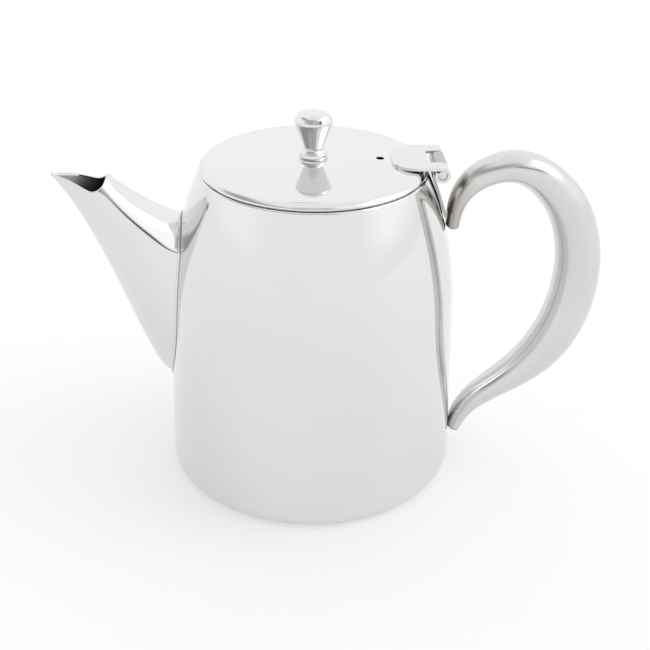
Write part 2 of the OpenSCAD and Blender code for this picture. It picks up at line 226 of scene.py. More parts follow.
def tangents(P, axis, closed):
    """Direction of the grid's lines along one axis, from each point's two neighbours."""
    P = np.moveaxis(P, axis, 0)
    before, after = np.roll(P, 1, 0), np.roll(P, -1, 0)
    if not closed:
        before[0] = 3 * P[0] - 3 * P[1] + P[2]
        after[-1] = 3 * P[-1] - 3 * P[-2] + P[-3]
    d0, d1 = P - before, after - P
    h0 = np.linalg.norm(d0, axis=-1, keepdims=True)
    h1 = np.linalg.norm(d1, axis=-1, keepdims=True)
    t = unit(d0) * h1 + unit(d1) * h0
    return np.moveaxis(unit(t), 0, axis)


def grid_normals(P, close_i=False, close_j=False):
    """Normals of the surface through the grid P, all on one side of it."""
    return unit(np.cross(tangents(P, 0, close_i), tangents(P, 1, close_j)))


def turned(N, at, direction):
    """The vectors N, reversed if the one at a place points against a direction."""
    return -N if N[at] @ np.array(direction) < 0 else N


def hermite_slopes(K, closed):
    """Slopes at evenly numbered knots K that make the cubic through them curvature-continuous."""
    n = len(K)
    A = np.zeros((n, n))
    B = np.zeros_like(K)
    for i in range(n):
        if closed or 0 < i < n - 1:
            A[i, (i - 1) % n] += 1
            A[i, i] += 4
            A[i, (i + 1) % n] += 1
            B[i] = 3 * (K[(i + 1) % n] - K[(i - 1) % n])
    if not closed:
        A[0, :2], B[0] = (2, 1), 3 * (K[1] - K[0])
        A[-1, -2:], B[-1] = (1, 2), 3 * (K[-1] - K[-2])
    return np.linalg.solve(A, B.reshape(n, -1)).reshape(K.shape)


def spline(K, at, closed=False):
    """Points of the smooth curve through knots K, at the numbers in at."""
    slopes = hermite_slopes(K, closed)
    n = len(K)
    i = np.minimum(np.floor(at).astype(int), n - 1 if closed else n - 2)
    t = (at - i).reshape((-1,) + (1,) * (K.ndim - 1))
    k = (i + 1) % n
    return ((2 * t**3 - 3 * t**2 + 1) * K[i] + (t**3 - 2 * t**2 + t) * slopes[i]
            + (3 * t**2 - 2 * t**3) * K[k] + (t**3 - t**2) * slopes[k])


def apply_modifiers(obj):
    """Makes obj's modifiers part of its mesh."""
    graph = bpy.context.evaluated_depsgraph_get()
    mesh = bpy.data.meshes.new_from_object(obj.evaluated_get(graph))
    obj.modifiers.clear()
    obj.data = mesh


def combine(obj, tool, operation):
    """Cuts the tool out of obj (DIFFERENCE), or keeps what they share (INTERSECT)."""
    m = obj.modifiers.new("combine", "BOOLEAN")
    m.operation, m.solver, m.object = operation, "EXACT", tool
    bpy.context.view_layer.update()
    apply_modifiers(obj)
    bpy.data.objects.remove(tool)


def pierce(obj, cutter):
    """Cuts the cutter out of obj. Corners that were there before keep their smooth normals."""
    mesh = obj.data
    tree = KDTree(len(mesh.vertices))
    for v in mesh.vertices:
        tree.insert(v.co, v.index)
    tree.balance()
    kept = np.zeros((len(mesh.vertices), 3))
    for loop, corner in zip(mesh.loops, mesh.corner_normals):
        kept[loop.vertex_index] = corner.vector
    combine(obj, cutter, "DIFFERENCE")
    mesh = obj.data
    mesh.set_sharp_from_angle(angle=math.radians(35))
    corners = np.zeros((len(mesh.loops), 3), np.float32)
    mesh.corner_normals.foreach_get("vector", corners.ravel())
    old = {}
    for v in mesh.vertices:
        _, i, distance = tree.find(v.co)
        if distance < 1e-7:
            old[v.index] = kept[i]
    for k, loop in enumerate(mesh.loops):
        if loop.vertex_index in old:
            corners[k] = old[loop.vertex_index]
    mesh.normals_split_custom_set(corners.tolist())


def drills(ends, radius, segments=32):
    """Plain cylinders to cut holes with, each between two points."""
    points, faces = [], []
    angles = 2 * math.pi * np.arange(segments) / segments
    aside = [0.3, 0.5, 0.81]    # any direction that no drill takes
    for a, b in ends:
        a, b = np.array(a, float), np.array(b, float)
        axis = unit(b - a)
        u = unit(np.cross(axis, aside))
        v = np.cross(axis, u)
        ring = radius * (np.cos(angles)[:, None] * u + np.sin(angles)[:, None] * v)
        first = sum(map(len, points))
        points.append(np.concatenate([a + ring, b + ring]))
        near = [first + j for j in range(segments)]
        far = [first + segments + j for j in range(segments)]
        faces += [near[::-1], far]
        faces += [[near[j], near[j - segments + 1], far[j - segments + 1], far[j]]
                  for j in range(segments)]
    return solid("drills", np.concatenate(points), faces)


def solid(name, points, faces):
    """A plain mesh object from points in millimetres."""
    mesh = bpy.data.meshes.new(name)
    mesh.from_pydata((np.array(points) * MM).tolist(), [], faces)
    mesh.update()
    obj = bpy.data.objects.new(name, mesh)
    bpy.context.scene.collection.objects.link(obj)
    return obj


def anticlockwise(outline):
    """The outline's points, in the order that makes the solids' faces look outward."""
    p = np.array(outline, float)
    q = np.roll(p, -1, 0)
    return p if (p[:, 0] * q[:, 1] - p[:, 1] * q[:, 0]).sum() > 0 else p[::-1]


def extrude_y(name, outline, y0, y1):
    """A solid with an outline (x, z) and ends at y0 and y1."""
    outline = anticlockwise(outline)
    n = len(outline)
    points = [[p[0], y, p[1]] for y in (y0, y1) for p in outline]
    faces = [list(range(n)), list(range(n, 2 * n))[::-1]]
    faces += [[(j + 1) % n, j, n + j, n + (j + 1) % n] for j in range(n)]
    return solid(name, points, faces)


def extrude_z(name, plan, z0, z1):
    """A solid with a plan (x, y) and ends at z0 and z1."""
    plan = anticlockwise(plan)
    n = len(plan)
    points = [[p[0], p[1], z] for z in (z0, z1) for p in plan]
    faces = [list(range(n))[::-1], list(range(n, 2 * n))]
    faces += [[j, (j + 1) % n, n + (j + 1) % n, n + j] for j in range(n)]
    return solid(name, points, faces)


def soften(obj, width, segments=3):
    """Rounds every edge sharper than 40 degrees and smooths the shading between them."""
    m = obj.modifiers.new("round", "BEVEL")
    m.width, m.segments, m.limit_method = width * MM, segments, "ANGLE"
    m.angle_limit = math.radians(40)
    m.harden_normals = True
    obj.data.shade_smooth()
    obj.data.set_sharp_from_angle(angle=math.radians(35))
    apply_modifiers(obj)


# ---- materials ----


JOIN_SHADE_TINT = (0.50, 0.475, 0.45)     # painted shade: darker, duller steel where a piece meets the pot
JOIN_SHADE_REACH = 7.0
GRAIN_DEPTH = 2.4e-5                # of the brushed lines along a piece, in metres


def material(name):
    """A new material and its shader."""
    m = bpy.data.materials.new(name)
    m.use_nodes = True
    return m, m.node_tree.nodes["Principled BSDF"]


def steel(name, colour, tint, rough, rough_spread, lines, wave, grain="", join_x=None):
    """Polished stainless steel: fine polishing lines, a slightly wavy sheet, and faint
    cloudy smears that change its gloss. The lines run round the piece, or along it where
    grain names an attribute. Nearer the pot than the join's x, it is painted darker and
    duller: painted shade where the piece meets the pot."""
    m, shader = material(name)
    nodes, links = m.node_tree.nodes, m.node_tree.links
    shader.inputs["Metallic"].default_value = 1
    place = nodes.new("ShaderNodeTexCoord").outputs["Object"]
    along = place
    if grain:
        attribute = nodes.new("ShaderNodeAttribute")
        attribute.attribute_name = grain
        along = attribute.outputs["Vector"]

    def noise(scale, detail, stretch=(1, 1, 1), distortion=0.0, source=place):
        mapping = nodes.new("ShaderNodeMapping")
        mapping.inputs["Scale"].default_value = stretch
        links.new(source, mapping.inputs["Vector"])
        n = nodes.new("ShaderNodeTexNoise")
        n.inputs["Scale"].default_value = scale
        n.inputs["Detail"].default_value = detail
        n.inputs["Distortion"].default_value = distortion
        links.new(mapping.outputs["Vector"], n.inputs["Vector"])
        return n.outputs["Fac"]

    def ranged(value, a, b, c, d):
        r = nodes.new("ShaderNodeMapRange")
        for socket, v in zip(("From Min", "From Max", "To Min", "To Max"), (a, b, c, d)):
            r.inputs[socket].default_value = v
        links.new(value, r.inputs["Value"])
        return r.outputs["Result"]

    def added(a, b):
        n = nodes.new("ShaderNodeMath")
        links.new(a, n.inputs[0])
        links.new(b, n.inputs[1])
        return n.outputs[0]

    def mixed(factor, a, b):
        n = nodes.new("ShaderNodeMix")
        n.data_type = "RGBA"
        for socket, v in (("A", a), ("B", b)):
            if isinstance(v, tuple):
                n.inputs[socket].default_value = (*v, 1)
            else:
                links.new(v, n.inputs[socket])
        links.new(factor, n.inputs["Factor"])
        return n.outputs["Result"]

    def bumped(height, distance, normal=None):
        n = nodes.new("ShaderNodeBump")
        n.inputs["Strength"].default_value = 1
        n.inputs["Distance"].default_value = distance
        links.new(height, n.inputs["Height"])
        if normal:
            links.new(normal, n.inputs["Normal"])
        return n.outputs["Normal"]

    smears = noise(38, 5, distortion=0.6)
    polish = noise(900, 3, stretch=(0.03, 1, 1) if grain else (0.12, 0.12, 1), source=along)
    roughness = added(ranged(smears, 0.35, 0.7, rough, rough + rough_spread),
                      ranged(polish, 0.3, 0.7, -0.012, 0.012))
    base = mixed(ranged(noise(22, 3), 0.3, 0.75, 0, 1), colour, tint)
    # Painted shade: the steel is darkened and dulled towards the pot, where the piece meets it
    if join_x is not None:
        split = nodes.new("ShaderNodeSeparateXYZ")
        links.new(place, split.inputs[0])
        join_shade = ranged(added(split.outputs["X"], ranged(smears, 0, 1, -0.003, 0.003)),
                      join_x * MM, (join_x - JOIN_SHADE_REACH) * MM, 0, 1)
        base = mixed(join_shade, base, JOIN_SHADE_TINT)
        roughness = added(roughness, ranged(join_shade, 0, 1, 0, 0.08))
    links.new(base, shader.inputs["Base Color"])
    links.new(roughness, shader.inputs["Roughness"])
    normal = bumped(noise(45, 1), wave)
    if grain:
        brushed = noise(260, 2, stretch=(0.04, 1, 1), source=along)
        normal = bumped(brushed, GRAIN_DEPTH, normal)
    links.new(bumped(polish, lines, normal), shader.inputs["Normal"])
    return m


# Each finish: colour, tint of its cloudy parts, roughness and its spread, and the depth in
# metres of the polishing lines and of the sheet's waves
POLISHED = steel("polished_steel", (0.755, 0.755, 0.75), (0.735, 0.735, 0.73),
                 0.045, 0.05, 6e-7, 2.5e-5)
# The handle's ends are painted darker and duller near the pot, as painted shade
HANDLE_STEEL = steel("handle_steel", (0.69, 0.687, 0.68), (0.65, 0.646, 0.637),
                     0.19, 0.08, 1.8e-6, 2.5e-5, grain="grain", join_x=61)
SATIN = steel("satin_inside", (0.62, 0.62, 0.61), (0.54, 0.54, 0.53), 0.26, 0.12, 4e-6, 4e-5)
# Painted shade: the spout's inside is given much darker steel than the pot's inside, for the shade
# in the mouth
SPOUT_INSIDE_SHADE = steel("spout_inside_painted_shade", (0.42, 0.41, 0.40), (0.33, 0.32, 0.31),
                     0.30, 0.12, 4e-6, 4e-5)
HINGE = steel("hinge_steel", (0.74, 0.74, 0.73), (0.70, 0.70, 0.69), 0.07, 0.07, 1e-6, 3e-5)
# Painted shade: darker steel for the body's hinge leaf and the handle's end plates, which sit
# tucked against the pot
HINGE_SHADE = steel("hinge_steel_painted_shade", (0.50, 0.49, 0.48), (0.42, 0.41, 0.40),
                   0.16, 0.10, 2e-6, 3e-5)
# Painted shade: darker steel for the weld bead's edges, where the bead meets the spout and the body
WELD_EDGE_SHADE = steel("weld_edge_painted_shade", (0.42, 0.40, 0.38), (0.30, 0.28, 0.26),
                  0.16, 0.12, 3e-6, 6e-5)
WELD = steel("weld_steel", (0.78, 0.77, 0.75), (0.66, 0.64, 0.60), 0.08, 0.10, 3e-6, 6e-5)
FASTENER = steel("fastener_steel", (0.62, 0.62, 0.61), (0.52, 0.52, 0.51),
                 0.22, 0.12, 4e-6, 3e-5)


def piece(obj, body, slot, *nodes):
    """Says which body obj rides on and what CAD nodes it stands for. Its slot is not used."""
    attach(obj, body)
    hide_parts(*nodes)


# ---- body ----

FOOT_R = 52.85          # middle of the foot's corner arc
FOOT_INNER_R = 49.5
CORNER_R = 4.5
BEND_R = 1.0            # bends at the base's step and at the rim
BASE_R = 46             # the base disc is let into the foot
BASE_Z = 1.2            # the base is recessed above the table by this
BASE_EDGE_R = 0.25
SIDE_TAPER = math.radians(1.67)
SHOULDER_Z = 70.0
SHOULDER_R = 142.0
RIM_H = 1.2             # height of the turned-in rim
MOUTH_R = 38.5

STRAINER_ROWS = 6
STRAINER_PITCH = 6
STRAINER_Z = 54         # the lowest row
STRAINER_HOLE_R = 1.6
STRAINER_X = (-60, -46)     # the drills start outside the wall and end inside it

side_dir = np.array([-math.sin(SIDE_TAPER), math.cos(SIDE_TAPER)])
side_out = np.array([math.cos(SIDE_TAPER), math.sin(SIDE_TAPER)])
side_foot = np.array([FOOT_R, CORNER_R]) + (CORNER_R - 0.02) * side_out
shoulder_foot = side_foot + side_dir * (SHOULDER_Z - side_foot[1]) / side_dir[1]
shoulder_c = shoulder_foot - SHOULDER_R * side_out


def body_r(z):
    """Outer radius of the body at height z."""
    straight = side_foot[0] - (z - side_foot[1]) * math.tan(SIDE_TAPER)
    arc = shoulder_c[0] + np.sqrt(np.maximum(SHOULDER_R**2 - (z - shoulder_c[1])**2, 0))
    return np.where(z < SHOULDER_Z, straight, np.minimum(straight, arc))


def body_path():
    """The pot's skin, from the middle of the base out, up the side and in at the rim."""
    z_end = body_h - RIM_H
    end = np.array([float(body_r(z_end)), z_end])
    out = unit(end - shoulder_c)
    up = np.array([-out[1], out[0]])
    turn = math.atan2(up[0] * -side_dir[1] + up[1] * side_dir[0], up @ side_dir)
    reach = SHOULDER_R * math.tan(abs(turn) / 2)
    shoulder_corner = shoulder_foot + side_dir * reach
    rim = end + up * (body_h - z_end) / up[1]
    foot_corner = side_foot - side_dir * side_foot[1] / side_dir[1]
    return [
        (BASE_R + WALL / 2, BASE_Z, 0), (FOOT_INNER_R - BASE_Z, BASE_Z, BEND_R),
        (FOOT_INNER_R, 0, BEND_R), (foot_corner[0], 0, CORNER_R),
        (*shoulder_corner, SHOULDER_R), (*rim, BEND_R), (MOUTH_R + WALL / 2, body_h, 0)]


def strainer_places():
    """Where the strainer's holes are, in rows of three and four: y and z."""
    for row in range(STRAINER_ROWS):
        count = 3 + row % 2
        for i in range(count):
            yield (i - (count - 1) / 2) * STRAINER_PITCH, STRAINER_Z + row * STRAINER_PITCH


def make_body():
    """Drawn pot body, polished outside and satin inside, with the strainer's holes."""
    points, normals = filleted(body_path())
    loop, loop_n, outer = sheet_loop(points, normals, WALL, True, True)
    obj, rows = revolve("body_shell", loop, loop_n, 384, closed=True)
    paint(obj, [POLISHED, SATIN], [1 if r > outer + END_ROWS + 1 else 0 for r in rows])
    outside, inside = STRAINER_X
    holes = [((outside, y, z), (inside, y, z)) for y, z in strainer_places()]
    pierce(obj, drills(holes, STRAINER_HOLE_R))
    piece(obj, "pot", "polished_steel", "body_shell")


def make_base_plate():
    """Flat disc let into the foot, with rounded edges."""
    z0, z1 = low("base_plate")[2], high("base_plate")[2]
    r = high("base_plate")[0]
    path = [(0, z0, 0), (r, z0, BASE_EDGE_R), (r, z1, BASE_EDGE_R), (0, z1, 0)]
    points, normals = filleted(path, step=1.5)
    obj, _ = revolve("base_plate", points, normals, 288)
    paint(obj, [SATIN])
    piece(obj, "pot", "polished_steel", "base_plate")


# ---- spout ----

# Rails from the ridge, over the far side, to the keel: foot on the body, two curve handles, mouth
SPOUT_RAILS = np.array([
    [[-49.9, 0, 104.4], [-60, 0, 108.4], [-69, 0, 114.2], [-76.4, 0, 122]],
    [[-49.7, 7.8, 102.7], [-60.1, 7.3, 107.2], [-69.6, 6.1, 113.5], [-76.8, 3.9, 120.9]],
    [[-49.8, 13, 97.5], [-60.2, 13.1, 101.8], [-70.6, 11, 110.1], [-78, 6.3, 119.3]],
    [[-50, 15.2, 94.9], [-60.3, 15.2, 95.8], [-71.8, 12.5, 104.5], [-80, 7.4, 118.1]],
    [[-51.5, 18, 80], [-60.5, 15.2, 87], [-74.5, 10.8, 104.5], [-83, 7.5, 118.1]],
    [[-53.2, 16.5, 60], [-62, 12, 67], [-77, 7.5, 101.5], [-88, 5.4, 119.9]],
    [[-55.3, 9.5, 45.5], [-64.3, 6.5, 49.5], [-78.3, 4.4, 99.2], [-93, 2.9, 121.3]],
    [[-56.5, 0, 38], [-65.3, 0, 38], [-78, 0, 98.5], [-97.5, 0, 122]]])


SPOUT_ROUND = 2.0 * (len(SPOUT_RAILS) - 1)
FOOT_BLEND = 0.12       # share of the spout's length over which its foot bends to the body

BEAD_W, BEAD_H = 0.95, 0.65
BEAD_OUT = 0.42         # the bead's middle, from the spout's foot
BEAD_DIP = 0.25         # angle by which the bead's edges dip into the body
BEAD_ROWS = 15
BEAD_SHADE_ROWS = 2      # rows at each edge painted darker, as painted shade where the bead meets the steel
BEAD_WAVES = (11, 17, 29, 41, 67, 97)


def on_body(y, z):
    """The points on the body's surface, on the spout's side, at y and z."""
    return np.stack([-np.sqrt(body_r(z)**2 - y**2), y, z], -1)


def spout_skin(us, vs):
    """Outer skin of the spout. v runs from 0 at the ridge, over the far side to the
    keel, and on up the camera's side to SPOUT_ROUND."""
    mirror = SPOUT_RAILS[-2:0:-1] * [1, -1, 1]
    rails = spline(np.concatenate([SPOUT_RAILS, mirror]), vs, closed=True)
    t = us[:, None, None]
    P = ((1 - t)**3 * rails[None, :, 0] + 3 * t * (1 - t)**2 * rails[None, :, 1]
         + 3 * t**2 * (1 - t) * rails[None, :, 2] + t**3 * rails[None, :, 3])
    foot = on_body(P[0, :, 1], P[0, :, 2])
    return P + (foot - P[0])[None] * np.clip(1 - us / FOOT_BLEND, 0, 1)[:, None, None]**2


def make_spout():
    """Spout's two halves, with a rounded lip, and a satin inside painted dark as painted shade in
    the mouth.
    """
    us = np.linspace(0, 1, 97)
    vs = np.linspace(0, SPOUT_ROUND, 337)[:-1]
    P = spout_skin(us, vs)
    N = turned(grid_normals(P, close_j=True), (40, 60), [0, 1, 0])
    inner = P - WALL * N
    inner[0] = on_body(inner[0, :, 1], inner[0, :, 2])
    along = tangents(P, 0, False)[-1]
    centre = (P[-1] + inner[-1]) / 2
    lip_n = np.array([N[-1] * math.cos(a) + along * math.sin(a) for a in END_ANGLES])
    lip = centre + lip_n * WALL / 2
    G = np.concatenate([P, lip, inner[::-1]])
    GN = np.concatenate([N, lip_n, -N[::-1]])
    half = len(vs) // 2
    sides = {"spout_right_half": list(range(half + 1)),
             "spout_left_half": list(range(half, len(vs))) + [0]}
    for name, columns in sides.items():
        obj, rows = surface(name, G[:, columns], GN[:, columns])
        # The inside faces take the darker steel, as painted shade
        paint(obj, [POLISHED, SPOUT_INSIDE_SHADE], [1 if r > len(us) + END_ROWS else 0 for r in rows])
        piece(obj, "pot", "polished_steel", name)


def make_spout_bead():
    """Low rounded bead of weld round the spout's foot, with painted shade: its edge rows are given
    darker steel where the bead meets the spout and the body.
    """
    vs = np.linspace(0, SPOUT_ROUND, 673)[:-1]
    foot = spout_skin(np.array([0.0]), vs)[0]
    run = tangents(foot[:, None], 0, True)[:, 0]
    lift = unit(foot * [1, 1, 0])
    away = turned(unit(np.cross(run, lift)), 0, [0, 0, 1])
    rng = np.random.default_rng(7)
    phases = rng.uniform(0, 2 * math.pi, len(BEAD_WAVES))
    wobble = sum(np.sin(2 * math.pi * k * np.arange(len(vs)) / len(vs) + p) / len(BEAD_WAVES)
                 for k, p in zip(BEAD_WAVES, phases))
    width = BEAD_W * (1 + 0.10 * wobble)
    height = BEAD_H * (1 + 0.12 * wobble)
    P = np.array([foot + away * (BEAD_OUT + width * math.cos(a))[:, None]
                  + lift * (height * math.sin(a))[:, None]
                  for a in np.linspace(-BEAD_DIP, math.pi + BEAD_DIP, BEAD_ROWS)])
    N = turned(grid_normals(P, close_i=True, close_j=True), (BEAD_ROWS // 2, 0), lift[0])
    obj, rows = surface("spout_weld_bead", P, N, close_i=True, close_j=True)
    # The bead's edge rows take the darker steel, as painted shade
    last_bright = BEAD_ROWS - 2 - BEAD_SHADE_ROWS
    paint(obj, [WELD, WELD_EDGE_SHADE], [1 if r < BEAD_SHADE_ROWS or r > last_bright else 0 for r in rows])
    piece(obj, "pot", "weld_steel", "spout_weld_bead")


# ---- handle ----

# Stations from the upper end over the arch to the lower end: x, z, half depth, half width
HANDLE = np.array([
    [53.75, 101.9, 2.7, 4.4], [54.1, 106.3, 3.0, 4.7], [56.0, 113.3, 3.8, 5.5],
    [62.3, 120.9, 4.9, 6.5], [73.5, 125.1, 5.8, 7.5], [84.9, 122.1, 6.7, 8.1],
    [95.0, 112.7, 7.7, 8.5], [101.4, 100.2, 8.4, 8.8], [104.3, 82.9, 8.9, 9.0],
    [101.4, 61.9, 9.0, 9.0], [92.3, 44.3, 8.0, 8.7], [79.4, 32.4, 5.9, 7.6],
    [68.8, 24.2, 4.8, 6.3], [62.9, 16.7, 3.9, 5.2], [60.1, 9.8, 3.2, 4.6]])


HANDLE_END = len(HANDLE) - 1
HANDLE_GRAIN_R = 4.0    # its brushed lines are spaced as on a bar of this radius

CAP_EDGE_R = 0.7
CAP_T = 0.2             # straight part of the plate's edge
CAP_INSET = 3.2         # the plate's inner face is this much smaller than the handle
CAP_GAP = 0.02


def handle_frame(at):
    """The handle's station values at the station numbers in at, and its unit direction."""
    ahead = spline(HANDLE, np.minimum(at + 0.01, HANDLE_END))
    behind = spline(HANDLE, np.maximum(at - 0.01, 0))
    return spline(HANDLE, at), unit((ahead - behind)[:, :2])


def handle_skin(at, angles, inset=0.0, shift=0.0):
    """Points round the handle at the station numbers in at, drawn in by inset and moved
    along it by shift."""
    s, d = handle_frame(at)
    a = (s[:, 2:3] - inset) * np.cos(angles)
    b = (s[:, 3:4] - inset) * np.sin(angles)
    x = s[:, :1] - d[:, 1:] * a + d[:, :1] * shift
    z = s[:, 1:2] + d[:, :1] * a + d[:, 1:] * shift
    return seated(np.stack([x, b, z], -1))


def seated(P):
    """Moves points that are inside the body out onto its surface."""
    r = np.hypot(P[..., 0], P[..., 1])
    k = np.maximum(1, (body_r(P[..., 2]) + CAP_GAP) / r)
    P = P.copy()
    P[..., 0] *= k
    P[..., 1] *= k
    return P


def make_handle():
    """Handle's two hollow halves, brushed along their length, and the plates at its ends."""
    at = np.linspace(0, HANDLE_END, 337)
    angles = np.linspace(0, 2 * math.pi, 145)[:-1]
    P = handle_skin(at, angles)
    N = turned(grid_normals(P, close_j=True), (168, 36), [0, 1, 0])
    half = len(angles) // 2
    inner = P - WALL * N
    G = np.concatenate([P, inner[::-1]])
    GN = np.concatenate([N, -N[::-1]])
    sides = {"handle_right_half": list(range(half + 1)),
             "handle_left_half": list(range(half, len(angles))) + [0]}
    middle = P.mean(1)
    length = np.cumsum(np.linalg.norm(np.diff(middle, axis=0, prepend=middle[:1]), axis=1))
    length = np.concatenate([length, length[::-1]])
    for name, columns in sides.items():
        obj, _ = surface(name, G[:, columns], GN[:, columns], close_i=True)
        grain = np.zeros((len(G), len(columns), 3))
        grain[:, :, 0] = length[:, None] * MM
        grain[:, :, 1] = HANDLE_GRAIN_R * angles[np.array(columns)] * MM
        attribute = obj.data.attributes.new("grain", "FLOAT_VECTOR", "POINT")
        attribute.data.foreach_set("vector", grain.ravel())
        paint(obj, [HANDLE_STEEL])
        piece(obj, "pot", "polished_steel", name)
    make_handle_cap("handle_upper_cap", 0.0, -1, angles)
    make_handle_cap("handle_lower_cap", float(HANDLE_END), 1, angles)


def make_handle_cap(name, station, way, angles):
    """Plate that closes one end of the handle, with its edge ground round. way is 1 where
    the plate lies past the station, and -1 where it lies before it."""
    at = np.array([station])
    rows = [handle_skin(at, angles, inset=inset)[0] for inset in (CAP_INSET, CAP_GAP)]
    for a in np.linspace(0, math.pi / 2, 8):
        rows.append(handle_skin(at, angles, inset=CAP_EDGE_R * (1 - math.cos(a)),
                                shift=way * (CAP_T + CAP_EDGE_R * math.sin(a)))[0])
    flat = handle_skin(at, angles, inset=CAP_EDGE_R, shift=way * (CAP_T + CAP_EDGE_R))[0]
    middle = flat.mean(0)
    rows += [middle + (flat - middle) * k for k in (0.75, 0.5, 0.25, 0.0)]
    inside = rows[0].mean(0)
    rows.insert(0, inside + 0 * rows[0])
    P = np.array(rows)
    N = turned(grid_normals(P, close_j=True), (3, 36), [0, 1, 0])
    N[-1] = N[-2].mean(0)
    N[0] = N[1].mean(0)
    obj, _ = surface(name, P, unit(N), close_j=True)
    # The plate takes the darker steel, as painted shade
    paint(obj, [HINGE_SHADE])
    piece(obj, "pot", "polished_steel", name)


# ---- hinge ----

PIN_GAP, BORE_GAP = 0.01, 0.05      # round the pin, in the lid's knuckles and the body's
KNUCKLE_TURNS = 0.833       # how far the lid's tongue rolls round the pin
KNUCKLE_OPEN = 0.78 * math.pi       # where the body leaf's knuckle ends
LEAF_CORNER_R = 8.0
SLOT_GAP = 0.3              # beside the centre knuckle
SLOT_REACH = 1.7            # from the knuckles to the slot's inner end
SLOT_CORNER = 0.8
# How far the tools that cut the lid's leaf reach past it. Another length splits its faces
# differently and can leave the mesh open.
TOOL_BELOW, TOOL_ABOVE, PLAN_PAST, SLOT_PAST = 5.0, 2.0, 5.0, 6.0
WELD_Z = 112.0              # where the body leaf meets the shoulder
WELD_GAP = 0.02
LID_LEAF_EDGE, BODY_LEAF_EDGE = 0.16, 0.14      # rounded edges


def circle(x, z, r, a0, a1, n):
    """Points along an arc round (x, z) from angle a0 to a1."""
    return [(x + r * math.cos(a), z + r * math.sin(a)) for a in np.linspace(a0, a1, n)]


def rolled(start, turns, outer_r, inner_r):
    """Outline of a strip that runs from start to the pin and rolls round it."""
    first = math.pi / 2
    last = first - turns * 2 * math.pi
    return (start + circle(pin_x, pin_z, outer_r, first, last, 72)
            + circle(pin_x, pin_z, inner_r, last, first, 72))


def make_lid_leaf():
    """Tongue on the lid, rolled round the pin in two knuckles with a slot between them."""
    under, half, r = leaf_top - LEAF_T, leaf_w / 2, LEAF_CORNER_R
    bottom, top = pin_z - TOOL_BELOW, leaf_top + TOOL_ABOVE
    strip = [(leaf_x0, under), (leaf_x0, leaf_top)]
    outline = rolled(strip, KNUCKLE_TURNS, knuckle_r, pin_r + PIN_GAP) + [(pin_x, under)]
    obj = extrude_y("lid_hinge_leaf", outline, -half, half)
    rising, falling = np.linspace(0, math.pi / 2, 24), np.linspace(math.pi / 2, 0, 24)
    plan = [(leaf_x0 + r - r * math.cos(a), side * (half - r + r * math.sin(a)))
            for side, angles in ((-1, falling), (1, rising)) for a in angles]
    plan += [(pin_x + PLAN_PAST, half), (pin_x + PLAN_PAST, -half)]
    combine(obj, extrude_z("plan", plan, bottom, top), "INTERSECT")
    slot_half = body_leaf_w / 2 + SLOT_GAP
    slot_x, end = pin_x - knuckle_r - SLOT_REACH, pin_x + SLOT_PAST
    slot = [(slot_x + SLOT_CORNER, -slot_half), (end, -slot_half), (end, slot_half),
            (slot_x + SLOT_CORNER, slot_half), (slot_x, slot_half - SLOT_CORNER),
            (slot_x, SLOT_CORNER - slot_half)]
    combine(obj, extrude_z("slot", slot, bottom, top), "DIFFERENCE")
    soften(obj, LID_LEAF_EDGE)
    paint(obj, [HINGE])
    piece(obj, "lid", "hinge_steel", "lid_hinge_leaf")


def make_body_leaf():
    """Strip that hangs from the centre knuckle and lies on the shoulder."""
    left = pin_x - knuckle_r
    lean = math.asin((WELD_Z - shoulder_c[1]) / SHOULDER_R)
    join_x = float(body_r(np.array(WELD_Z))) + WELD_GAP
    slope = math.tan(lean)
    knee_z = WELD_Z + (join_x - left) / slope
    foot_x = join_x + (WELD_Z - body_leaf_foot) * slope
    across = LEAF_T / math.cos(lean)
    front = filleted([
        (foot_x + across, body_leaf_foot, 0),
        (left + LEAF_T, knee_z + (across - LEAF_T) / slope, 1.2),
        (left + LEAF_T, pin_z, 0)], step=1.0)[0]
    back = filleted([(left, pin_z, 0), (left, knee_z, 2.0), (foot_x, body_leaf_foot, 0)],
                    step=1.0)[0]
    outline = ([tuple(p) for p in front[:-1]]
               + circle(pin_x, pin_z, pin_r + BORE_GAP, math.pi, -KNUCKLE_OPEN, 72)
               + circle(pin_x, pin_z, knuckle_r, -KNUCKLE_OPEN, math.pi, 72)
               + [tuple(p) for p in back[1:]])
    obj = extrude_y("body_hinge_leaf", outline, -body_leaf_w / 2, body_leaf_w / 2)
    soften(obj, BODY_LEAF_EDGE)
    # The leaf takes the darker steel, as painted shade under the lid's tongue
    paint(obj, [HINGE_SHADE])
    piece(obj, "pot", "hinge_steel", "body_hinge_leaf")


def make_pin():
    """Pin with lightly domed, staked ends."""
    half = leaf_w / 2
    # One end, from its middle out: radius, depth below the end's face, corner radius
    end = [(0, 0, 0), (0.9, 0, 0.1), (1.1, 0.22, 0.2), (pin_r, 0.3, 0.35)]
    path = ([(r, depth - half, corner) for r, depth, corner in end]
            + [(r, half - depth, corner) for r, depth, corner in end[::-1]])
    points, normals = filleted(path, step=1.0)
    obj, _ = revolve("hinge_pin", points, normals, 64)
    lying = Matrix.Rotation(math.pi / 2, 4, "X")
    obj.data.transform(Matrix.Translation((pin_x * MM, 0, pin_z * MM)) @ lying)
    paint(obj, [HINGE])
    piece(obj, "lid", "hinge_steel", "hinge_pin")


# ---- lid ----

